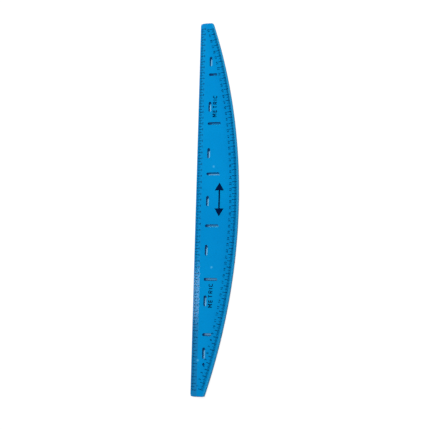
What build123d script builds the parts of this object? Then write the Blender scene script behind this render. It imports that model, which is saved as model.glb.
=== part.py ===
from build123d import *
import os
from functools import cache
from math import asin, cos, degrees, floor, sqrt

# A translucent curve ruler for drafting sewing patterns: a thin moulded blade with one
# straight edge and one edge that is an arc of a large circle. Both edges carry a printed
# centimetre scale, and a row of narrow slots lets chalk or a pencil through.
# The blade lies flat. Y runs along it, with the zero end at -Y, the straight edge faces -X,
# the curved edge faces +X, and the origin is the middle of its underside. Millimetres.

# Blade
blade_length = 620.0
middle_width = 70.7
end_width = 22.2
blade_thickness = 3.0
corner_radius = 4.5
cut_overrun = 2.0

# Bevels that thin the blade along its two working edges
straight_bevel_width = 10.0
straight_edge_thickness = 1.2
curved_bevel_width = 2.5
curved_edge_thickness = 2.2

# Slots that run along the blade, in one row
slot_width = 3.8
long_slot_length = 16.5
long_slot_pitch = 80.6
long_slot_shift = -2.3
slot_row_inset = 19.4

# Slots that run across the blade, between the others
cross_slot_length = 21.2
cross_slot_pitch = 86.3
cross_slot_inset = 16.8
cross_slot_shortest = 8.0
cross_slot_to_numbers = 0.4

# Hole to hang the ruler by, in line with the row of slots
hang_hole_diameter = 3.2
hang_hole_from_end = 49.0
hang_hole_to_slot = 4.0

# Ink
ink_thickness = 0.1
scale_end_margin = 10.0
centimetre_pitch = 10.0
clear_of_ink = 0.6

# Scale along the straight edge: how far each thing lies in from the edge
straight_marks_inset = 1.4
straight_half_length = 5.2
straight_whole_length = 5.6
straight_half_line = 0.55
straight_whole_line = 0.7
straight_number_height = 2.0
straight_number_inset = 7.2
straight_number_stroke = 0.3

# Scale along the curved edge
curved_marks_inset = 4.1
curved_half_length = 5.2
curved_whole_length = 7.4
curved_half_line = 0.45
curved_whole_line = 0.8
curved_number_height = 3.2
curved_number_inset = 12.4
curved_number_stroke = 0.5
number_before_mark = 3.6

# The two labels
label_height = 7.0
label_stroke = 1.25
label_inset = 24.5
upper_label_station = 159.5
lower_label_station = -155.0

# Grain-line arrow at the middle of the blade
arrow_length = 56.0
arrow_inset = 38.5
arrow_station = 0.5
arrow_shaft_width = 2.4
arrow_head_length = 13.0
arrow_head_width = 15.0

# The curved scale lies aslant: the share of the distance along the blade from its middle by
# which the scale is nearer to the curved edge
curved_lean_share = 0.005

# Shares of a figure's height
figure_width_share = 0.6
number_gap_share = 0.24
label_gap_share = 0.34

os.makedirs("parts", exist_ok=True)

# The outline: the curved edge is the arc through the two ends and the middle
half_length = blade_length / 2
straight_x = -middle_width / 2
middle_x = middle_width / 2
end_x = straight_x + end_width
edge_rise = middle_width - end_width
curve_radius = (half_length**2 + edge_rise**2) / (2 * edge_rise)
curve_centre_x = middle_x - curve_radius


def width_at(station):
    """Width of the blade at a distance along it from the middle."""
    return curve_centre_x + sqrt(curve_radius**2 - station**2) - straight_x


# How far in from each edge its scale reaches, the curved one at the middle of the blade
straight_scale_reach = straight_number_inset + straight_number_height
curved_marks_reach = curved_marks_inset + curved_whole_length
curved_scale_reach = curved_number_inset + curved_number_height

# Where the slots go: as many as fit between the hang hole and its mirror image
slots_half_span = half_length - hang_hole_from_end - hang_hole_diameter / 2 - hang_hole_to_slot
long_slots_half_span = slots_half_span - long_slot_length / 2 - abs(long_slot_shift)
long_slots_each_side = floor(long_slots_half_span / long_slot_pitch)
cross_slots_each_side = floor((slots_half_span - slot_width / 2) / cross_slot_pitch + 0.5)
slot_row_x = straight_x + slot_row_inset
long_slot_stations = [
    long_slot_pitch * n + long_slot_shift
    for n in range(-long_slots_each_side, long_slots_each_side + 1)
]
cross_slot_stations = [
    cross_slot_pitch * (n + 0.5) for n in range(-cross_slots_each_side, cross_slots_each_side)
]


def cross_slot_length_at(station):
    """A cross slot is cut short where the numbers of the curved scale come near it, and its
    mirror image with it."""
    numbers_reach = curved_scale_reach + curved_lean_share * abs(station)
    room = width_at(station) - numbers_reach - cross_slot_to_numbers - cross_slot_inset
    return max(min(cross_slot_length, room), cross_slot_shortest)


# Blade
with BuildPart() as blade:
    with BuildSketch() as outline:
        with BuildLine():
            Polyline(
                (end_x, half_length),
                (straight_x, half_length),
                (straight_x, -half_length),
                (end_x, -half_length),
            )
            ThreePointArc((end_x, -half_length), (middle_x, 0), (end_x, half_length))
        make_face()
        fillet(outline.vertices(), corner_radius)
    extrude(amount=blade_thickness)

    # Bevel of the straight edge
    bevel_drop = blade_thickness - straight_edge_thickness
    bevel_slope = bevel_drop / straight_bevel_width
    with BuildSketch(Plane.XZ):
        with BuildLine():
            Polyline(
                (straight_x - cut_overrun, straight_edge_thickness - cut_overrun * bevel_slope),
                (straight_x + straight_bevel_width, blade_thickness),
                (straight_x + straight_bevel_width, blade_thickness + cut_overrun),
                (straight_x - cut_overrun, blade_thickness + cut_overrun),
                close=True,
            )
        make_face()
    extrude(amount=half_length + cut_overrun, both=True, mode=Mode.SUBTRACT)

    # Bevel of the curved edge, turned about the centre of its arc
    curved_slope = (blade_thickness - curved_edge_thickness) / curved_bevel_width
    with BuildSketch(Plane.XZ):
        with BuildLine():
            Polyline(
                (middle_x + cut_overrun, curved_edge_thickness - cut_overrun * curved_slope),
                (middle_x - curved_bevel_width, blade_thickness),
                (middle_x - curved_bevel_width, blade_thickness + cut_overrun),
                (middle_x + cut_overrun, blade_thickness + cut_overrun),
                close=True,
            )
        make_face()
    revolve(axis=Axis((curve_centre_x, 0, 0), (0, 0, 1)), mode=Mode.SUBTRACT)

    # Slots along the blade
    with BuildSketch(Plane.XY.offset(-cut_overrun)):
        with Locations(*[(slot_row_x, station) for station in long_slot_stations]):
            SlotOverall(long_slot_length, slot_width, rotation=90)
    extrude(amount=blade_thickness + 2 * cut_overrun, mode=Mode.SUBTRACT)

    # Slots across the blade
    with BuildSketch(Plane.XY.offset(-cut_overrun)):
        for station in cross_slot_stations:
            this_length = cross_slot_length_at(station)
            with Locations((straight_x + cross_slot_inset + this_length / 2, station)):
                SlotOverall(this_length, slot_width)
    extrude(amount=blade_thickness + 2 * cut_overrun, mode=Mode.SUBTRACT)

    # Hang hole
    with Locations((slot_row_x, hang_hole_from_end - half_length, blade_thickness)):
        Hole(hang_hole_diameter / 2)

blade.part.label = "blade"
export_step(blade.part, "parts/blade.step")

# The ink lies on two faces: the flat top, and the bevel of the straight edge. On each, x runs
# along the blade the way the numbers read, and y points out over the straight edge.
top_face = Plane(origin=(straight_x, 0, blade_thickness), x_dir=(0, 1, 0), z_dir=(0, 0, 1))
bevel_face = Plane(
    origin=(straight_x, 0, straight_edge_thickness),
    x_dir=(0, 1, 0),
    z_dir=(-bevel_drop, 0, straight_bevel_width),
)
curve_centre_y = straight_x - curve_centre_x

# Stations of the marks, as distances along the blade from its middle
centimetre_count = floor((blade_length - 2 * scale_end_margin) / centimetre_pitch)
scale_start = -centimetre_count * centimetre_pitch / 2
whole_marks = [scale_start + n * centimetre_pitch for n in range(centimetre_count + 1)]
half_marks = [station + centimetre_pitch / 2 for station in whole_marks[:-1]]


def room_beside_straight_scale(station, curved_reach):
    """Whether the blade is wide enough for something of the curved scale, which reaches so far
    in at the middle of the blade, to clear the straight scale."""
    reach = curved_reach - curved_lean_share * station
    return width_at(station) > straight_scale_reach + reach + clear_of_ink


def on_straight(station, inset):
    """Place on the bevel that lies inset from the straight edge."""
    return Location((station, -inset, 0))


def on_curve(station, inset):
    """Place on the top face that lies inset from the curved edge at the middle of the blade,
    and more or less by the scale's lean elsewhere, turned square to the edge."""
    radius = curve_radius - inset + curved_lean_share * station
    turn = asin(station / radius)
    return Location((station, curve_centre_y - radius * cos(turn), 0), (0, 0, degrees(turn)))


# Figures and letters, as pen strokes in shares of their height
stroke_shares = {
    "0": [
        [(0, 0.5), (0, 0.82), (0.16, 1), (0.44, 1), (0.6, 0.82)],
        [(0.6, 0.82), (0.6, 0.18), (0.44, 0), (0.16, 0), (0, 0.18), (0, 0.5)],
    ],
    "1": [[(0.12, 0.8), (0.34, 1), (0.34, 0)]],
    "2": [[(0, 0.8), (0.16, 1), (0.44, 1), (0.6, 0.84), (0.6, 0.66), (0, 0), (0.6, 0)]],
    "3": [
        [(0, 1), (0.56, 1), (0.26, 0.6), (0.42, 0.6), (0.6, 0.44)],
        [(0.6, 0.44), (0.6, 0.18), (0.44, 0), (0.16, 0), (0, 0.16)],
    ],
    "4": [[(0.44, 0), (0.44, 1)], [(0.44, 1), (0, 0.3), (0.62, 0.3)]],
    "5": [
        [(0.56, 1), (0.08, 1), (0.08, 0.58), (0.42, 0.58), (0.6, 0.42)],
        [(0.6, 0.42), (0.6, 0.18), (0.42, 0), (0.14, 0), (0, 0.12)],
    ],
    "6": [
        [(0.5, 1), (0.18, 1), (0, 0.8), (0, 0.18), (0.16, 0), (0.44, 0), (0.6, 0.18)],
        [(0.6, 0.18), (0.6, 0.38), (0.44, 0.56), (0, 0.56)],
    ],
    "7": [[(0, 1), (0.6, 1), (0.22, 0)]],
    "8": [
        [(0.16, 0.54), (0.44, 0.54), (0.56, 0.68), (0.56, 0.87), (0.44, 1), (0.16, 1)],
        [(0.16, 1), (0.04, 0.87), (0.04, 0.68), (0.16, 0.54), (0, 0.38), (0, 0.17)],
        [(0, 0.17), (0.16, 0), (0.44, 0), (0.6, 0.17), (0.6, 0.38), (0.44, 0.54)],
    ],
    "9": [
        [(0.1, 0), (0.42, 0), (0.6, 0.2), (0.6, 0.82), (0.44, 1), (0.16, 1), (0, 0.82)],
        [(0, 0.82), (0, 0.62), (0.16, 0.44), (0.6, 0.44)],
    ],
    "C": [
        [(0.6, 0.82), (0.44, 1), (0.16, 1), (0, 0.82), (0, 0.18), (0.16, 0), (0.44, 0), (0.6, 0.18)],
    ],
    "E": [[(0.56, 1), (0, 1), (0, 0), (0.56, 0)], [(0, 0.5), (0.5, 0.5)]],
    "I": [[(0, 0), (0, 1)]],
    "M": [[(0, 0), (0, 1), (0.08, 1), (0.38, 0.4), (0.68, 1), (0.76, 1), (0.76, 0)]],
    "R": [
        [(0, 0), (0, 1), (0.44, 1), (0.6, 0.86), (0.6, 0.62), (0.44, 0.48), (0, 0.48)],
        [(0.32, 0.48), (0.6, 0)],
    ],
    "T": [[(0, 1), (0.64, 1)], [(0.32, 1), (0.32, 0)]],
}
own_width_share = {"M": 0.76, "I": 0.0}


@cache
def figure(letter, pen_height, stroke_width):
    """One figure as a flat face, with its pen's lowest left point at the origin."""
    with BuildSketch() as drawn:
        for stroke in stroke_shares[letter]:
            with BuildLine():
                Polyline(*[(x * pen_height, y * pen_height) for x, y in stroke])
            trace(line_width=stroke_width)
    return drawn.sketch


def lettering(text, height, stroke_width, gap_share, place):
    """A line of figures as flat faces, with the middle of the line at a place on the ink's face."""
    pen_height = height - stroke_width
    gap = gap_share * height + stroke_width
    advances = [own_width_share.get(letter, figure_width_share) * pen_height + gap for letter in text]
    pen_x = -(sum(advances) - gap) / 2
    faces = []
    for letter, advance in zip(text, advances):
        seat = place * Location((pen_x, -pen_height / 2, 0))
        faces += [face.moved(seat) for face in figure(letter, pen_height, stroke_width).faces()]
        pen_x += advance
    return faces


def mark_places(place_on, stations, inset, length, inwards):
    """Places of the middles of one kind of mark."""
    if place_on is on_curve:
        stations = [s for s in stations if room_beside_straight_scale(s, curved_marks_reach)]
    middle = Location((0, inwards * length / 2, 0))
    return [place_on(station, inset) * middle for station in stations]


# The two scales: the face they lie on, how a place is found, which way the marks point, how far
# in they start, and the length and line width of the half and the whole centimetre marks
scales = {
    "straight": (
        bevel_face,
        on_straight,
        -1,
        straight_marks_inset,
        (straight_half_length, straight_half_line),
        (straight_whole_length, straight_whole_line),
    ),
    "curved": (
        top_face,
        on_curve,
        1,
        curved_marks_inset,
        (curved_half_length, curved_half_line),
        (curved_whole_length, curved_whole_line),
    ),
}
for edge, (face_plane, place_on, inwards, inset, half_size, whole_size) in scales.items():
    mark_kinds = {
        edge + "_half_centimetre_marks": (half_marks, *half_size),
        edge + "_centimetre_marks": (whole_marks, *whole_size),
    }
    for name, (stations, length, line_width) in mark_kinds.items():
        with BuildPart() as printed_marks:
            with BuildSketch(face_plane):
                with Locations(*mark_places(place_on, stations, inset, length, inwards)):
                    Rectangle(line_width, length)
            extrude(amount=ink_thickness)
        printed_marks.part.label = name
        export_step(printed_marks.part, "parts/" + name + ".step")


def straight_number_faces():
    """The numbers of the straight scale, each centred under its mark."""
    inset = straight_number_inset + straight_number_height / 2
    size = (straight_number_height, straight_number_stroke, number_gap_share)
    faces = []
    for number, station in enumerate(whole_marks):
        faces += lettering(str(number), *size, on_straight(station, inset))
    return faces


def curved_number_faces():
    """The numbers of the curved scale, each just before its mark and square to the edge."""
    inset = curved_number_inset + curved_number_height / 2
    size = (curved_number_height, curved_number_stroke, number_gap_share)
    faces = []
    for number, station in enumerate(whole_marks):
        if number > 0 and room_beside_straight_scale(station, curved_scale_reach):
            faces += lettering(str(number), *size, on_curve(station - number_before_mark, inset))
    return faces


def unit_label_faces(station):
    """The kind of unit, in a line along the blade."""
    place = on_straight(station, label_inset + label_height / 2)
    return lettering("METRIC", label_height, label_stroke, label_gap_share, place)


# Numbers and labels: each set has the face it lies on and its flat faces
letter_sets = {
    "straight_numbers": (bevel_face, straight_number_faces()),
    "curved_numbers": (top_face, curved_number_faces()),
    "upper_unit_label": (top_face, unit_label_faces(upper_label_station)),
    "lower_unit_label": (top_face, unit_label_faces(lower_label_station)),
}
for name, (face_plane, faces) in letter_sets.items():
    with BuildPart() as letters:
        with BuildSketch(face_plane):
            add(faces)
        extrude(amount=ink_thickness)
    letters.part.label = name
    export_step(letters.part, "parts/" + name + ".step")

# Arrow that is laid along the grain of the cloth, pointing both ways
arrow_tip = arrow_length / 2
arrow_neck = arrow_tip - arrow_head_length
arrow_middle = (straight_x + arrow_inset, arrow_station, blade_thickness)
with BuildPart() as grain_arrow:
    with BuildSketch(Plane(origin=arrow_middle, x_dir=(0, 1, 0), z_dir=(0, 0, 1))):
        Rectangle(2 * arrow_neck, arrow_shaft_width)
        with BuildLine():
            Polyline(
                (arrow_tip, 0),
                (arrow_neck, arrow_head_width / 2),
                (arrow_neck, -arrow_head_width / 2),
                close=True,
            )
        make_face()
        mirror(about=Plane.YZ)
    extrude(amount=ink_thickness)
grain_arrow.part.label = "grain_arrow"
export_step(grain_arrow.part, "parts/grain_arrow.step")
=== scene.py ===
# %% [markdown]
# # A translucent curve ruler
#
# This ruler is used to draft sewing patterns. It is a thin blade of clear blue plastic, moulded
# in one go, with one straight edge and one edge that bends gently. Ink is printed on its upper
# face, and narrow slots let a pencil or a piece of chalk through.
#
# The solids come from a CAD model, which this script loads first. Its ink solids stay as they
# are and get a good material. The blade is made again here with softly rounded lips, because a
# moulded edge is never knife sharp and its little highlights give the plastic away. The
# millimetre marks, too fine to be solids, are added here as well.

import bpy
import numpy as np
from mathutils import Euler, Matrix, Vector
from mathutils.geometry import delaunay_2d_cdt


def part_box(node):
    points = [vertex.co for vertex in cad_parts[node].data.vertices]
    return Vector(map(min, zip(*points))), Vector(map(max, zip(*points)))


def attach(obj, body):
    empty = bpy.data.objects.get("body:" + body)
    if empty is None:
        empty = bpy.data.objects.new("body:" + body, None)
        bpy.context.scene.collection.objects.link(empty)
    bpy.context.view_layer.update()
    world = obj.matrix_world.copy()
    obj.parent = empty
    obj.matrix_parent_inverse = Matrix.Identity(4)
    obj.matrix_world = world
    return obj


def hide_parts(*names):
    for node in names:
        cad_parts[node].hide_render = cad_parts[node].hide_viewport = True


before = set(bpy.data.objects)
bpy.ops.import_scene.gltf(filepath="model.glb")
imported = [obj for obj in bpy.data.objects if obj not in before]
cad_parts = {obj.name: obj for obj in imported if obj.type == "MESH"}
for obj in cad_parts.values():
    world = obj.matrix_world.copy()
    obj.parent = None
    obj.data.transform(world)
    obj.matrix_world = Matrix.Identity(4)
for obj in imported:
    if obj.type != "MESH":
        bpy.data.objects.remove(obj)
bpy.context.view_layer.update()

# %% [markdown]
# ## The view
#
# A printed ruler shows by itself how a camera stood: its centimetres shrink towards the far
# end, and its edges lean. A camera placed by eye would miss such a long, thin thing by several
# pixels somewhere. The place, turn and lens below were worked out instead, so that the edges,
# the centimetre marks and the evenly spaced slots land where they should in a square picture.

# %% Camera
view_camera = bpy.data.cameras.new("view_camera")
view_camera.sensor_width = 36.0
view_camera.lens = 49.1
camera_object = bpy.data.objects.new("view_camera", view_camera)
camera_object.location = (0.11965, -0.1885, 0.9308)
camera_object.rotation_euler = Euler((0.17553, 0.12748, 0.02294), "XYZ")
bpy.context.scene.collection.objects.link(camera_object)
bpy.context.scene.camera = camera_object
print("Camera height in mm:", round(1000 * camera_object.location.z))

# %% [markdown]
# ## Measures of the blade
#
# The length, width and thickness are read from the CAD node, so the new blade can't drift from
# it. The rest are the sizes of the bevels, the slots and the rounded lips, in metres.

# %% Blade measures
mm = 0.001
quarter_turn = np.pi / 2
low_corner, high_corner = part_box("blade")
half_length = high_corner.y
straight_x = low_corner.x
curved_x = high_corner.x
thickness = high_corner.z
end_width = 22.2 * mm
corner_radius = 4.5 * mm
straight_bevel_width = 10 * mm
straight_edge_thickness = 1.2 * mm
curved_bevel_width = 2.5 * mm
curved_edge_thickness = 2.2 * mm
lip_radius = 0.45 * mm

edge_rise = curved_x - straight_x - end_width
curve_radius = (half_length**2 + edge_rise**2) / (2 * edge_rise)
curve_centre_x = curved_x - curve_radius
print("Radius of the curved edge in mm:", round(1000 * curve_radius))

# %% [markdown]
# ## Height of the upper face
#
# Seen from above the blade is flat, but both working edges are bevelled, so that the marks lie
# close to the paper. A Boolean could cut the bevels, but it leaves ragged slivers beside the
# slots. Here one function gives the height of the upper face anywhere. The lips, the flat and
# the millimetre marks all use it, so they can't come apart.


# %% Height of the upper face
def top_height(x, y):
    """The lowest of three surfaces: the flat top; a plane that rises from the straight edge;
    and a cone that rises inwards from the curved edge, about the centre of its arc."""
    from_straight = (x - straight_x) / straight_bevel_width
    from_curved = (curve_radius - np.hypot(x - curve_centre_x, y)) / curved_bevel_width
    plane = straight_edge_thickness + (thickness - straight_edge_thickness) * from_straight
    cone = curved_edge_thickness + (thickness - curved_edge_thickness) * from_curved
    return np.minimum(thickness, np.minimum(plane, cone))


print("Height over each edge in mm:", top_height(np.array([straight_x, curved_x]), 0) * 1000)

# %% [markdown]
# ## Loops round the plastic
#
# The outline, each slot and the hang hole are all closed loops with plastic on their left hand
# side. Each loop is a list of points with the direction that points out of the plastic, because
# the rounded lip is made by stepping back along that direction.


# %% Pieces of a loop
def arc(centre, radius, first, last, count, side=1):
    """Points on a circle, centre + radius (cos a, sin a), at angles a evenly spaced from first
    to last, with the direction out of the plastic: (cos a, sin a) for an outer corner (side 1)
    and its opposite for the end of a slot (side -1)."""
    angle = np.linspace(first, last, count)
    outward = np.stack([np.cos(angle), np.sin(angle)], axis=1)
    return np.asarray(centre) + radius * outward, side * outward


def straight_run(start, end, outward, spacing=6 * mm):
    """Points strictly between start and end: start plus evenly rising shares of the way to
    end, with one and the same direction out of the plastic."""
    start, end = np.asarray(start), np.asarray(end)
    count = int(np.linalg.norm(end - start) / spacing)
    share = np.linspace(0, 1, count + 2)[1:-1, None]
    return start + share * (end - start), np.tile(outward, (count, 1))


def joined(*runs):
    """One loop from its runs in order."""
    return np.concatenate([run[0] for run in runs]), np.concatenate([run[1] for run in runs])


print("Points on a quarter circle:", len(arc((0, 0), 1, 0, quarter_turn, 5)[0]))

# %% [markdown]
# ## The outline
#
# Each corner is a small circle that touches its two neighbours. Next to the straight edge its
# centre is simply one radius in from both lines. Next to the curved edge it is one radius in
# from the end, and its distance from the big arc's centre is the big radius less the small one.
# A bevel on a drawn outline would round them too, but these sums give the CAD model's corners.

# %% Outline
curved_edge_points = 181
curved_corner_points = 9
straight_corner_points = 11
same_place = 1e-7


def outline_loop():
    """Anticlockwise round the blade: the curved edge, the far end, the straight edge and the
    near end, with a corner arc between each two."""
    inner_y = half_length - corner_radius
    inner_x = curve_centre_x + np.sqrt((curve_radius - corner_radius) ** 2 - inner_y**2)
    lean = np.arctan2(inner_y, inner_x - curve_centre_x)
    left_x = straight_x + corner_radius
    half_turn, three_quarters = 2 * quarter_turn, 3 * quarter_turn
    last_angle = 4 * quarter_turn - lean
    return joined(
        arc((curve_centre_x, 0), curve_radius, -lean, lean, curved_edge_points),
        arc((inner_x, inner_y), corner_radius, lean, quarter_turn, curved_corner_points),
        straight_run((inner_x, half_length), (left_x, half_length), (0, 1)),
        arc((left_x, inner_y), corner_radius, quarter_turn, half_turn, straight_corner_points),
        straight_run((straight_x, inner_y), (straight_x, -inner_y), (-1, 0)),
        arc((left_x, -inner_y), corner_radius, half_turn, three_quarters, straight_corner_points),
        straight_run((left_x, -half_length), (inner_x, -half_length), (0, -1)),
        arc((inner_x, -inner_y), corner_radius, three_quarters, last_angle, curved_corner_points),
    )


def without_repeats(loop):
    """The loop less each point that lies on the one before it, where two runs meet."""
    points, outward = loop
    step = np.linalg.norm(points - np.roll(points, 1, axis=0), axis=1)
    return points[step > same_place], outward[step > same_place]


outline = without_repeats(outline_loop())
print("Points round the outline:", len(outline[0]))

# %% [markdown]
# ## Slots and hang hole
#
# Seven slots run along the blade in one row, and six run across it between them. Near the ends
# the blade narrows, so the outermost cross slots are cut short to stay clear of the numbers.
# They could be cut out of a finished blade, but as loops of their own they get the same clean
# lip as the outline does.

# %% Measures of the slots
slot_width = 3.8 * mm
slot_row_x = straight_x + 19.4 * mm
long_slot_length = 16.5 * mm
long_slot_pitch = 80.6 * mm
long_slot_shift = 2.3 * mm
cross_slot_inset = 16.8 * mm
cross_slot_start = straight_x + cross_slot_inset
cross_slot_least, cross_slot_full = 8 * mm, 21.2 * mm
cross_slot_pitch = 86.3 * mm
numbers_reach = 16.0 * mm
curved_lean = 0.005
hang_hole_radius = 1.6 * mm
hang_hole_y = 49 * mm - half_length

long_stations = long_slot_pitch * np.arange(-3, 4) - long_slot_shift
cross_stations = cross_slot_pitch * (np.arange(-3, 3) + 0.5)
print("Slots along and across:", len(long_stations), len(cross_stations))

# %% Slots
along_blade, across_blade = quarter_turn, 0.0
slot_end_points = 15
slot_spacing = 3 * mm
hang_hole_points = 25


def slot_loop(centre, length, direction):
    """Clockwise round a slot: a half circle at each end of a straight middle, where direction
    is the angle of the slot's run in radians."""
    along = np.array([np.cos(direction), np.sin(direction)])
    reach = (length - slot_width) / 2
    far, near = centre + reach * along, centre - reach * along
    right = slot_width / 2 * np.array([along[1], -along[0]])
    inwards = right / np.linalg.norm(right)
    left_angle, right_angle = direction + quarter_turn, direction - quarter_turn
    return without_repeats(joined(
        arc(far, slot_width / 2, left_angle, right_angle, slot_end_points, -1),
        straight_run(far + right, near + right, -inwards, slot_spacing),
        arc(near, slot_width / 2, right_angle, direction - 3 * quarter_turn, slot_end_points, -1),
        straight_run(near - right, far - right, inwards, slot_spacing),
    ))


def cross_slot_length(y):
    """The blade's width at y, less the slot's inset and the reach and lean of the numbers, but
    no less than the shortest slot and no more than the full one."""
    width = curve_centre_x + np.sqrt(curve_radius**2 - y**2) - straight_x
    room = width - numbers_reach - curved_lean * abs(y) - cross_slot_inset
    return float(np.clip(room, cross_slot_least, cross_slot_full))


slots = [(np.array([slot_row_x, y]), long_slot_length, along_blade) for y in long_stations]
for cross_y in cross_stations:
    cross_length = cross_slot_length(cross_y)
    cross_centre = np.array([cross_slot_start + cross_length / 2, cross_y])
    slots.append((cross_centre, cross_length, across_blade))
hang_hole = arc(
    (slot_row_x, hang_hole_y), hang_hole_radius, 4 * quarter_turn, 0, hang_hole_points, -1
)
loops = [outline] + [slot_loop(*slot) for slot in slots] + [without_repeats(hang_hole)]
shortest = min(length for centre, length, direction in slots)
print("Loops:", len(loops), "shortest slot in mm:", round(1000 * shortest, 1))

# %% [markdown]
# ## Filling the flat of the blade
#
# The face between the lips is flat but full of holes, which no plain grid can follow. A
# constrained triangulation can: it is given all the loops, the two lines where the bevels
# start, and loose points in between so that the triangles stay even. The triangles that fall
# into a slot or outside the outline are dropped afterwards.

# %% Loose points
lattice_step = 5 * mm
lattice_clearance = 3.4 * mm
bevel_clearance = 1 * mm


def clearance(points):
    """Distance of each point from the nearest edge of the plastic, negative outside it: the
    least of its distances from the outline's sides, each slot and the hang hole."""
    x, y = points.T
    gaps = [x - straight_x, half_length - np.abs(y)]
    gaps.append(curve_radius - np.hypot(x - curve_centre_x, y))
    for centre, length, direction in slots:
        along = np.array([np.cos(direction), np.sin(direction)])
        reach = (length - slot_width) / 2
        run = np.clip((points - centre) @ along, -reach, reach)
        gaps.append(np.linalg.norm(points - centre - run[:, None] * along, axis=1) - slot_width / 2)
    gaps.append(np.hypot(x - slot_row_x, y - hang_hole_y) - hang_hole_radius)
    return np.min(gaps, axis=0)


lattice = np.stack(np.meshgrid(
    np.arange(straight_x, curved_x, lattice_step),
    np.arange(-half_length, half_length, lattice_step),
), axis=-1).reshape(-1, 2)
lattice = lattice[clearance(lattice) > lattice_clearance]
from_bevel = np.abs(lattice[:, 0] - straight_x - straight_bevel_width)
lattice = lattice[from_bevel > bevel_clearance]
print("Loose points:", len(lattice))

# %% Lines where the bevels start
bevel_line_points, bevel_line_gap = 105, 1.5 * mm
bevel_arc_points, bevel_arc_gap = 181, 2.5 * mm


def bevel_lines():
    """The line one bevel width in from the straight edge, and the arc one bevel width in from
    the curved edge. Each stops a small gap short of the blade's ends."""
    line_end, arc_end = half_length - bevel_line_gap, half_length - bevel_arc_gap
    line_y = np.linspace(-line_end, line_end, bevel_line_points)
    line = np.stack([np.full_like(line_y, straight_x + straight_bevel_width), line_y], axis=1)
    radius = curve_radius - curved_bevel_width
    arc_y = np.linspace(-arc_end, arc_end, bevel_arc_points)
    return line, np.stack([curve_centre_x + np.sqrt(radius**2 - arc_y**2), arc_y], axis=1)


bevel_starts = bevel_lines()
print("Points on the two lines:", [len(line) for line in bevel_starts])

# %% All points of the flat
rim_points = np.concatenate([points for points, outward in loops])
rim_outward = np.concatenate([outward for points, outward in loops])
rim_count = len(rim_points)
flat_points = np.concatenate([rim_points - lip_radius * rim_outward, *bevel_starts, lattice])
print("Points of the flat:", len(flat_points), "of these on the rim:", rim_count)

# %% Triangles of the flat
point_tolerance = 1e-9


def chained(first, count, closed):
    """The edges first to first + 1 and so on along a run of points."""
    index = np.arange(first, first + count)
    after = np.roll(index, -1)
    edges = np.stack([index, after], axis=1)
    return edges if closed else edges[:-1]


def on_plastic(points, edges):
    """True where a line from a point towards the right crosses the loops' edges an odd number
    of times: once for the outline, and twice more for every hole that it passes."""
    (x0, y0), (x1, y1) = flat_points[edges[:, 0]].T, flat_points[edges[:, 1]].T
    x, y = points.T[..., None]
    rise = np.where(y1 == y0, 1, y1 - y0)
    crossed = ((y0 > y) != (y1 > y)) & (x < x0 + (y - y0) * (x1 - x0) / rise)
    return crossed.sum(axis=1) % 2 == 1


runs = [(len(loop[0]), True) for loop in loops] + [(len(line), False) for line in bevel_starts]
run_edges, run_start = [], 0
for run_length, is_closed in runs:
    run_edges.append(chained(run_start, run_length, is_closed))
    run_start += run_length
fixed_edges = np.concatenate(run_edges).tolist()
filled = delaunay_2d_cdt(
    [Vector(point) for point in flat_points], fixed_edges, [], 0, point_tolerance
)
triangles = np.array(filled[2])
middles = flat_points[triangles].mean(axis=1)
triangles = triangles[on_plastic(middles, np.concatenate(run_edges[:len(loops)]))]
print("Points kept as given:", len(filled[0]) == len(flat_points), "triangles:", len(triangles))

# %% [markdown]
# ## The rounded lips and the walls
#
# Every edge of the plastic gets the same lip: a quarter circle that leaves the flat level and
# ends upright in the wall. The same quarter circle, upside down, leads from the wall to the
# underside. A Bevel modifier could round the edges too, but here the rings of points are known
# one by one: they are stacked like the hoops of a barrel and joined by squares.

# %% Rings of the rim
lip_points = 5
lip_angles = np.linspace(quarter_turn, 0, lip_points)
lip_inset = lip_radius * (1 - np.cos(lip_angles))
lip_drop = lip_radius * (1 - np.sin(lip_angles))


def rim_rings():
    """Upper rings from the flat out to the wall, then lower rings from the wall back in. On a
    ring with inset d and drop e, a point is the loop's point less d times its outward
    direction, at the upper face's height less e, or at height e below."""
    stack = []
    for inset, drop in zip(lip_inset, lip_drop):
        flat = rim_points - inset * rim_outward
        stack.append(np.column_stack([flat, top_height(flat[:, 0], flat[:, 1]) - drop]))
    for inset, drop in zip(lip_inset[::-1], lip_drop[::-1]):
        flat = rim_points - inset * rim_outward
        stack.append(np.column_stack([flat, np.full(rim_count, drop)]))
    return stack


rings = rim_rings()
print("Rings:", len(rings), "points in each:", rim_count)


# %% Blade mesh
def blade_mesh():
    """Upper flat, rings, lower flat. The first and last ring are the flats' own edge points."""
    flat_count = len(flat_points)
    wall_count = (len(rings) - 2) * rim_count
    upper = np.column_stack([flat_points, top_height(*flat_points.T)])
    lower = np.column_stack([flat_points, np.zeros(flat_count)])
    points = np.concatenate([upper, *rings[1:-1], lower])
    starts = [0] + [flat_count + n * rim_count for n in range(len(rings) - 1)]
    here = np.arange(rim_count)
    after, first = here + 1, 0
    for loop_points, _ in loops:
        first += len(loop_points)
        after[first - 1] = first - len(loop_points)
    squares = np.concatenate([
        np.stack([below + here, below + after, above + after, above + here], axis=1)
        for above, below in zip(starts[:-1], starts[1:])
    ])
    under = triangles[:, ::-1] + starts[-1]
    faces = triangles.tolist() + squares.tolist() + under.tolist()
    smooth = np.zeros(len(faces), bool)
    smooth[len(triangles):len(triangles) + len(squares)] = True
    on_wall = np.zeros(len(points))
    on_wall[flat_count:flat_count + wall_count] = 1
    return points, faces, smooth, on_wall


def new_piece(name, points, faces):
    """A mesh object from its points and faces, riding on the one body, at the origin."""
    mesh = bpy.data.meshes.new(name)
    mesh.from_pydata(points.tolist(), [], faces)
    piece = bpy.data.objects.new(name, mesh)
    bpy.context.scene.collection.objects.link(piece)
    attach(piece, "root")
    return piece


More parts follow.
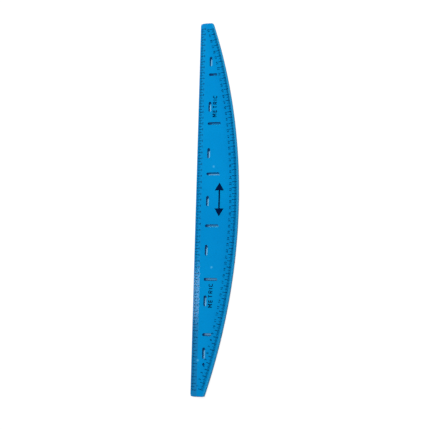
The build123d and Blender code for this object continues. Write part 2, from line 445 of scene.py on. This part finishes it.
blade_points, blade_faces, blade_smooth, blade_on_wall = blade_mesh()
moulded_blade = new_piece("moulded_blade", blade_points, blade_faces)
moulded_blade.data.polygons.foreach_set("use_smooth", blade_smooth)
wall_share = moulded_blade.data.attributes.new("wall_share", "FLOAT", "POINT")
wall_share.data.foreach_set("value", blade_on_wall)
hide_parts("blade")
print("Blade faces:", len(blade_faces))

# %% [markdown]
# ## Millimetre marks
#
# Between the half centimetres each scale has four fine marks. From arm's length nobody reads
# them one by one, but together they darken the band along each edge. An image could show them,
# but then they would be missing from the mesh. Each mark is a thin bar whose eight corners
# follow the height of the upper face, so it lies on the bevel as it does on the flat.

# %% Bars of ink
ink_proud, ink_sunk = 0.05 * mm, 0.02 * mm
bar_sides = [[3, 2, 1, 0], [4, 5, 6, 7], [0, 1, 5, 4], [1, 2, 6, 5], [2, 3, 7, 6], [3, 0, 4, 7]]


def ink_bars(corners):
    """Closed bars from the four corners of each mark, anticlockwise: the top ring stands a
    little proud of the upper face, and the bottom ring lies a little under it."""
    height = top_height(corners[..., 0], corners[..., 1])
    top = np.concatenate([corners, (height + ink_proud)[..., None]], axis=-1)
    bottom = np.concatenate([corners, (height - ink_sunk)[..., None]], axis=-1)
    points = np.concatenate([bottom, top], axis=1).reshape(-1, 3)
    firsts = 8 * np.arange(len(corners))
    faces = (firsts[:, None, None] + np.array(bar_sides)).reshape(-1, 4)
    return points, faces.tolist()


scale_start = -300 * mm
scale_millimetres = np.arange(601)
stations = scale_start + scale_millimetres[scale_millimetres % 5 > 0] * mm
print("Millimetre marks on each scale:", len(stations))

# %% Straight scale
straight_fine_line = 0.24 * mm
near_x, far_x = straight_x + 1.4 * mm, straight_x + 4.4 * mm
straight_corners = np.stack([
    np.stack([np.full_like(stations, x), stations + side * straight_fine_line / 2], axis=-1)
    for x, side in [(near_x, -1), (far_x, -1), (far_x, 1), (near_x, 1)]
], axis=1)
straight_fine = new_piece("straight_millimetre_marks", *ink_bars(straight_corners))
print("Straight marks end in mm from the edge:", round(1000 * (far_x - straight_x), 1))

# %% Curved scale
curved_fine_line = 0.33 * mm
curved_fine_length = 3.4 * mm
curved_fine_inset = 4.1 * mm
outer_radius = curve_radius - curved_fine_inset + curved_lean * stations
inner_radius = outer_radius - curved_fine_length
mark_angle = np.arcsin(stations / outer_radius)
spoke = np.stack([np.cos(mark_angle), np.sin(mark_angle)], axis=-1)
sideways = np.stack([-np.sin(mark_angle), np.cos(mark_angle)], axis=-1)
arc_centre = np.array([curve_centre_x, 0])
curved_corners = np.stack([
    arc_centre + radius[:, None] * spoke + side * curved_fine_line / 2 * sideways
    for radius, side in [
        (inner_radius, -1), (outer_radius, -1), (outer_radius, 1), (inner_radius, 1)
    ]
], axis=1)
curved_fine = new_piece("curved_millimetre_marks", *ink_bars(curved_corners))
print("Curved marks are in mm long:", round(1000 * curved_fine_length, 1))

# %% [markdown]
# ## Writing materials as sums
#
# A material is a net of nodes. Adding each node by hand hides the idea behind it, so a socket
# is wrapped in a small class here: a plus sign between two wrapped sockets adds the Math node
# for it. Any other kind of node is added by one method of the material.


# %% Sockets that can be summed
class Wire:
    """One output socket. A sum on it adds the Math node that works it out."""

    def __init__(self, finish, socket):
        self.finish, self.socket = finish, socket

    def sum(self, operation, first, second):
        return self.finish.node("Math", {"operation": operation}, {0: first, 1: second})

    def __add__(self, other):
        return self.sum("ADD", self, other)

    def __sub__(self, other):
        return self.sum("SUBTRACT", self, other)

    def __rsub__(self, other):
        return self.sum("SUBTRACT", other, self)

    def __mul__(self, other):
        return self.sum("MULTIPLY", self, other)

    __radd__, __rmul__ = __add__, __mul__


print("Reflected sums on a socket:", [name for name in vars(Wire) if name.startswith("__r")])


# %% A finish that is being wired
class Finish:
    """A material, or the world, that is being wired."""

    def __init__(self, owner):
        self.owner, self.tree = owner, owner.node_tree
        if not self.tree:
            owner.use_nodes = True
            self.tree = owner.node_tree
        self.tree.nodes.clear()

    def node(self, kind, settings=None, sockets=None, output=0):
        """Adds a node, sets its settings, then its sockets, and gives one of its outputs."""
        made = self.tree.nodes.new("ShaderNode" + kind)
        for name, value in (settings or {}).items():
            setattr(made, name, value)
        for name, value in (sockets or {}).items():
            if isinstance(value, Wire):
                self.tree.links.new(value.socket, made.inputs[name])
            else:
                made.inputs[name].default_value = value
        return Wire(self, made.outputs[output]) if made.outputs else None

    def position(self):
        return self.node("TexCoord", output="Object")

    def part(self, vector, axis):
        return self.node("SeparateXYZ", sockets={0: vector}, output=axis)

    def noise(self, vector, scale, detail):
        return self.node("TexNoise", sockets={"Vector": vector, "Scale": scale, "Detail": detail})

    def ease(self, value, start, end, low=0.0, high=1.0):
        """low up to start, high from end, and a smooth step between them."""
        sockets = {"Value": value, "From Min": start, "From Max": end}
        sockets.update({"To Min": low, "To Max": high})
        return self.node("MapRange", {"interpolation_type": "SMOOTHSTEP"}, sockets)

    def distance(self, place, spot):
        """How far a place is from a fixed spot."""
        return self.node("VectorMath", {"operation": "DISTANCE"}, {0: place, 1: spot}, "Value")

    def from_arc_centre(self, x, y):
        """How far a place is from the centre of the curved edge's arc."""
        across = self.node("CombineXYZ", sockets={0: x - curve_centre_x, 1: y})
        return self.node("VectorMath", {"operation": "LENGTH"}, {0: across}, "Value")

    def blend(self, share, first, second):
        """The first colour where the share is 0, the second where it is 1."""
        return self.node("Mix", {"data_type": "RGBA"}, {0: share, 6: first, 7: second}, 2)

    def mixed(self, share, first, second):
        """The first shader where the share is 0, the second where it is 1."""
        return self.node("MixShader", sockets={0: share, 1: first, 2: second})

    def finished(self, shader, output="OutputMaterial"):
        self.node(output, sockets={"Surface": shader})
        return self.owner


print("Ways to wire a node:", len([name for name in vars(Finish) if not name.startswith("_")]))


# %% Colours
def linear(red, green, blue):
    """A colour as a shader wants it, from its 0 to 255 values on a screen. The screen's curve
    is undone: a straight line near black, and a power of 2.4 above that."""
    value = np.array([red, green, blue]) / 255
    value = np.where(value <= 0.04045, value / 12.92, ((value + 0.055) / 1.055) ** 2.4)
    return (*value.tolist(), 1.0)


print("Half grey on a screen as a shader wants it:", round(linear(128, 128, 128)[0], 3))

# %% [markdown]
# ## Blue plastic
#
# The blade is clear plastic with blue dye in it. Light that goes in comes out blue from all of
# its depth, so most of what is seen is an even, rather flat blue under a thin clear gloss. Part
# of the light goes straight through, which is why the table shows faintly under the blade. A
# refracting shader would need very many light paths for the same even blue, so this one does it
# the short way: a glossy blue surface, mixed with a tinted see-through one.
#
# The dye is never quite even: it varies in faint clouds and fine specks. Light and shade are
# painted over it as well: painted shade on the straight bevel, deeper towards the lower end,
# with a trace of painted sheen in its colour; painted shade near the curved scale; and painted
# light on the narrow rim past that scale. The walls are painted deep blue, as painted shade and
# because the eye looks along the plastic there. Three small pale spots are painted glints. The
# moulded face also waves a little, which only its highlights show, so the waves go to a bump.

# %% Places on the plastic
# Painted glints: three small pale spots of painted highlight on the upper face.
painted_glints = [
    (straight_x + inset * mm, station * mm, thickness)
    for inset, station in [(28.2, 55.6), (28.6, -110.2), (10.4, -255.2)]
]
spot_rim, spot_core = 2.6 * mm, 0.7 * mm
lower_end = (-140 * mm, -310 * mm)
# Painted shade on the straight bevel deepens between these two stations, towards the lower end.
bevel_shade_span = (-150 * mm, -220 * mm)
bevel_line_x = straight_x + straight_bevel_width
bevel_softness = 0.2 * mm
# Painted shade near the curved scale, between these two distances from the arc's centre.
shade_near_curve = (curve_radius - 26 * mm, curve_radius - 10 * mm)
# Painted light: the narrow rim past the curved scale is painted paler, between these distances.
painted_rim_light = (curve_radius - 4.2 * mm, curve_radius - 2.2 * mm)
print("Marks left by the mould:", len(painted_glints))

# %% Dye and painted light
plain_blue = linear(0, 162, 230)


def dye_and_painted_light(finish, place, speck):
    """The plain blue with one colour after the other laid over it, each by its own share: the
    dye's clouds and specks, then painted shade, painted light and painted glints.
    """
    x, y = finish.part(place, "X"), finish.part(place, "Y")
    cloud = finish.noise(place, 9.0, 2.0)
    from_centre = finish.from_arc_centre(x, y)
    bevel_shade_mask = finish.ease(x, bevel_line_x + bevel_softness, bevel_line_x - bevel_softness)
    wall = finish.node("Attribute", {"attribute_name": "wall_share"}, output="Fac")
    layers = [
        (finish.ease(cloud, 0.3, 0.7), linear(0, 155, 225)),
        (finish.ease(y, *lower_end), linear(0, 162, 232)),
        (finish.ease(speck, 0.55, 0.75, 0.0, 0.12), linear(0, 105, 170)),
        # Painted shade towards the curved scale.
        (finish.ease(from_centre, *shade_near_curve, 0.0, 0.3), linear(0, 134, 205)),
        # Painted light on the narrow rim past the curved scale.
        (finish.ease(from_centre, *painted_rim_light, 0.0, 0.75), linear(52, 180, 232)),
        # Painted shade on the straight bevel, with a trace of painted sheen in its colour.
        (bevel_shade_mask * finish.ease(y, *bevel_shade_span, 0.25, 0.72), linear(28, 126, 182)),
        # The walls are painted deep blue: painted shade, and the deeper look of plastic seen along
        # it.
        (wall * 0.85, linear(0, 58, 112)),
    ]
    # Painted glints: pale spots painted into the colour where highlights fall.
    for spot in painted_glints:
        away = finish.distance(place, spot)
        layers.append((finish.ease(away, spot_rim, spot_core, 0.0, 0.66), linear(90, 205, 255)))
    dye = plain_blue
    for share, colour in layers:
        dye = finish.blend(share, dye, colour)
    return dye


print("Plain blue as a shader wants it:", [round(value, 3) for value in plain_blue])


# %% Blue plastic
def blue_plastic():
    finish = Finish(bpy.data.materials.new("blue_plastic"))
    place = finish.position()
    speck = finish.noise(place, 220.0, 3.0)
    wave = finish.noise(place, 26.0, 1.0)
    bump = finish.node("Bump", sockets={"Strength": 0.12, "Distance": 0.6 * mm, "Height": wave})
    gloss = finish.node("BsdfPrincipled", sockets={
        "Base Color": dye_and_painted_light(finish, place, speck),
        "Roughness": finish.ease(speck, 0.3, 0.7, 0.09, 0.14),
        "IOR": 1.49,
        "Specular IOR Level": 0.35,
        "Normal": bump,
    })
    through = finish.node("BsdfTransparent", sockets={"Color": linear(60, 190, 235)})
    in_shadow = finish.node("LightPath", output="Is Shadow Ray")
    return finish.finished(finish.mixed(in_shadow * 0.15 + 0.2, gloss, through))


plastic = blue_plastic()
moulded_blade.data.materials.append(plastic)
print("Plastic wired:", len(plastic.node_tree.nodes), "nodes")

# %% [markdown]
# ## Printing ink
#
# The figures are printed in dark blue ink. It is matte next to the plastic, a little thinner in
# places, and never quite black. The figures are solids already, so the shader has no pattern to
# draw, and only a fine noise thins the ink.

# %% Printing ink
most_worn = 0.35


def printing_ink():
    finish = Finish(bpy.data.materials.new("printing_ink"))
    grain = finish.noise(finish.position(), 700.0, 3.0)
    worn = finish.ease(grain, 0.45, 0.75, 0.0, most_worn)
    return finish.finished(finish.node("BsdfPrincipled", sockets={
        "Base Color": finish.blend(worn, linear(0, 22, 62), linear(0, 48, 104)),
        "Roughness": finish.ease(worn, 0.0, most_worn, 0.42, 0.6),
        "Specular IOR Level": 0.08,
    }))


ink = printing_ink()
for fine_marks in (straight_fine, curved_fine):
    fine_marks.data.materials.append(ink)
inked = [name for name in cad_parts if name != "blade"]
for name in inked:
    for material_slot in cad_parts[name].material_slots:
        material_slot.material = ink
print("Inked nodes:", len(inked))

# %% [markdown]
# ## Table
#
# The ruler lies on a plain white table, which takes its shadow. Light Path's Is Camera Ray mixes
# some emission into what the camera sees of the table, so it reads as white without more light
# falling on the ruler. Under the blade and in its slots a mask leaves that out, because the
# table is in the blade's shade there. It is tinted by the light that came through the plastic
# instead, darker in the row of long slots than in the rest of the cross slots.
#
# The walls of a slot throw light as well. In the photograph each of the four lower cross slots
# has its own pale line on the table, and the last two have a dark line below it. No simple
# shader bends light like that, so the lines are painted on the table as a faint glow and a shade.

# %% Lines of light in the cross slots
# Each line: the cross slot, counted from 0 at the lower end; the line's lower and upper side,
# from the middle of that slot; and its strength.
light_lines = [
    (3, -2.4 * mm, 0.0 * mm, 0.3),
    (2, -2.4 * mm, 2.4 * mm, 0.05),
    (1, -0.6 * mm, 2.4 * mm, 0.12),
    (0, -0.8 * mm, 2.4 * mm, 0.16),
]
shade_lines = [(1, -3.0 * mm, -0.8 * mm, 1.0), (0, -3.0 * mm, -0.9 * mm, 1.0)]
line_softness = 0.3 * mm


def across_lines(finish, y, lines):
    """The lines' strength between their two sides, with soft edges, and 0 elsewhere."""
    shares = []
    for slot, lower, upper, strength in lines:
        low, high = cross_stations[slot] + lower, cross_stations[slot] + upper
        above_low = finish.ease(y, low - line_softness, low + line_softness)
        below_high = finish.ease(y, high + line_softness, high - line_softness, 0.0, strength)
        shares.append(above_low * below_high)
    return sum(shares[1:], shares[0])


print("Pale lines:", len(light_lines), "dark lines:", len(shade_lines))

# %% Table
row_end = (straight_x + 22 * mm, straight_x + 24 * mm)
dark_slot_end = (cross_slot_start + 2 * mm, cross_slot_start + 4 * mm)
table_paint = (0.86, 0.87, 0.88, 1)
row_tint = (0.16, 0.54, 0.84, 1)
cross_tint = (0.12, 1.15, 1.5, 1)
shade_tint = (0.03, 0.2, 0.42, 1)
line_colour = (0.38, 0.74, 1.0, 1)


def under_blade(finish, x, y):
    """1 where the table is inside the outline, and 0 past its four sides, with a soft edge."""
    inside = finish.ease(x, straight_x, straight_x + lip_radius)
    from_centre = finish.from_arc_centre(x, y)
    inside = inside * finish.ease(from_centre, curve_radius, curve_radius - lip_radius)
    inside = inside * finish.ease(y, half_length, half_length - lip_radius)
    return inside * finish.ease(y, -half_length, lip_radius - half_length)


def white_table():
    finish = Finish(bpy.data.materials.new("white_table"))
    place = finish.position()
    x, y = finish.part(place, "X"), finish.part(place, "Y")
    inside = under_blade(finish, x, y)
    seen = finish.node("LightPath", output="Is Camera Ray")
    tint = finish.blend(finish.ease(x, *row_end), row_tint, cross_tint)
    tint = finish.blend(across_lines(finish, y, shade_lines), tint, shade_tint)
    paint = finish.blend(seen * inside, table_paint, tint)
    lit = finish.node("BsdfDiffuse", sockets={"Color": paint})
    pale = finish.node("Emission", sockets={"Color": line_colour, "Strength": 1.2})
    white = finish.node("Emission", sockets={"Color": (1, 1, 1, 1), "Strength": 1.1})
    past_end = finish.ease(x, *dark_slot_end)
    lit = finish.mixed(seen * inside * past_end * across_lines(finish, y, light_lines), lit, pale)
    return finish.finished(finish.mixed(seen * (1 - inside) * 0.85, lit, white))


table_reach, table_height = 4.0, -0.3 * mm
table_corners = np.array([[-1, -1, 0], [1, -1, 0], [1, 1, 0], [-1, 1, 0]]) * table_reach
table_mesh = bpy.data.meshes.new("table")
table_mesh.from_pydata((table_corners + [0, 0, table_height]).tolist(), [], [[0, 1, 2, 3]])
table = bpy.data.objects.new("table", table_mesh)
table.data.materials.append(white_table())
bpy.context.scene.collection.objects.link(table)
print("Table is", 2 * table_reach, "m wide")

# %% [markdown]
# ## Light
#
# Gloss shows what stands opposite the camera, so no lamp hangs where the flat top would mirror
# it. The key lamp is far off, past the upper end of the ruler and to its left. It puts the left
# half of each long slot in shade, and most of each cross slot. It is so bright that its mirror
# image would turn half of the blade white from some sides. Its glossy rays are off, and a weak
# lamp a little further to the left, with its diffuse rays off, gives a soft sheen there instead.
#
# A small strip lamp is placed where the sloping bevel mirrors it, and gives the pale sheen on
# part of that edge. The world is a faint blue to the ruler, and white to the camera alone.


# %% Lamps
def lamp(name, place, width, height, power):
    """An area lamp at place, in metres, that faces the middle of the ruler."""
    light = bpy.data.lights.new(name, "AREA")
    light.shape, light.size, light.size_y, light.energy = "RECTANGLE", width, height, power
    made = bpy.data.objects.new(name, light)
    made.location = place
    made.rotation_euler = (-Vector(place)).to_track_quat("-Z", "Y").to_euler()
    bpy.context.scene.collection.objects.link(made)
    return made


key_lamp = lamp("key_lamp", (-2.5, 4.5, 4.1), width=2.6, height=1.6, power=599.0)
key_lamp.visible_glossy = False
soft_window = lamp("soft_window", (-4.0, 3.9, 3.6), width=2.6, height=1.6, power=75.0)
soft_window.visible_diffuse = False
bevel_strip = lamp("bevel_strip", (-0.60, -0.11, 1.0), width=0.16, height=0.2, power=0.42)
print("Lamps lit:", key_lamp.name, soft_window.name, bevel_strip.name)


# %% World and colour
def white_room():
    finish = Finish(bpy.data.worlds.new("white_room"))
    seen = finish.node("LightPath", output="Is Camera Ray")
    colour = finish.blend(seen, (0.055, 0.08, 0.1, 1), (1, 1, 1, 1))
    background = finish.node("Background", sockets={"Color": colour})
    return finish.finished(background, "OutputWorld")


bpy.context.scene.world = white_room()
bpy.context.scene.view_settings.view_transform = "Standard"
print("World:", bpy.context.scene.world.name)

# %% [markdown]
# ## The CAD model's box
#
# The blade made here must stay inside the CAD model's box.
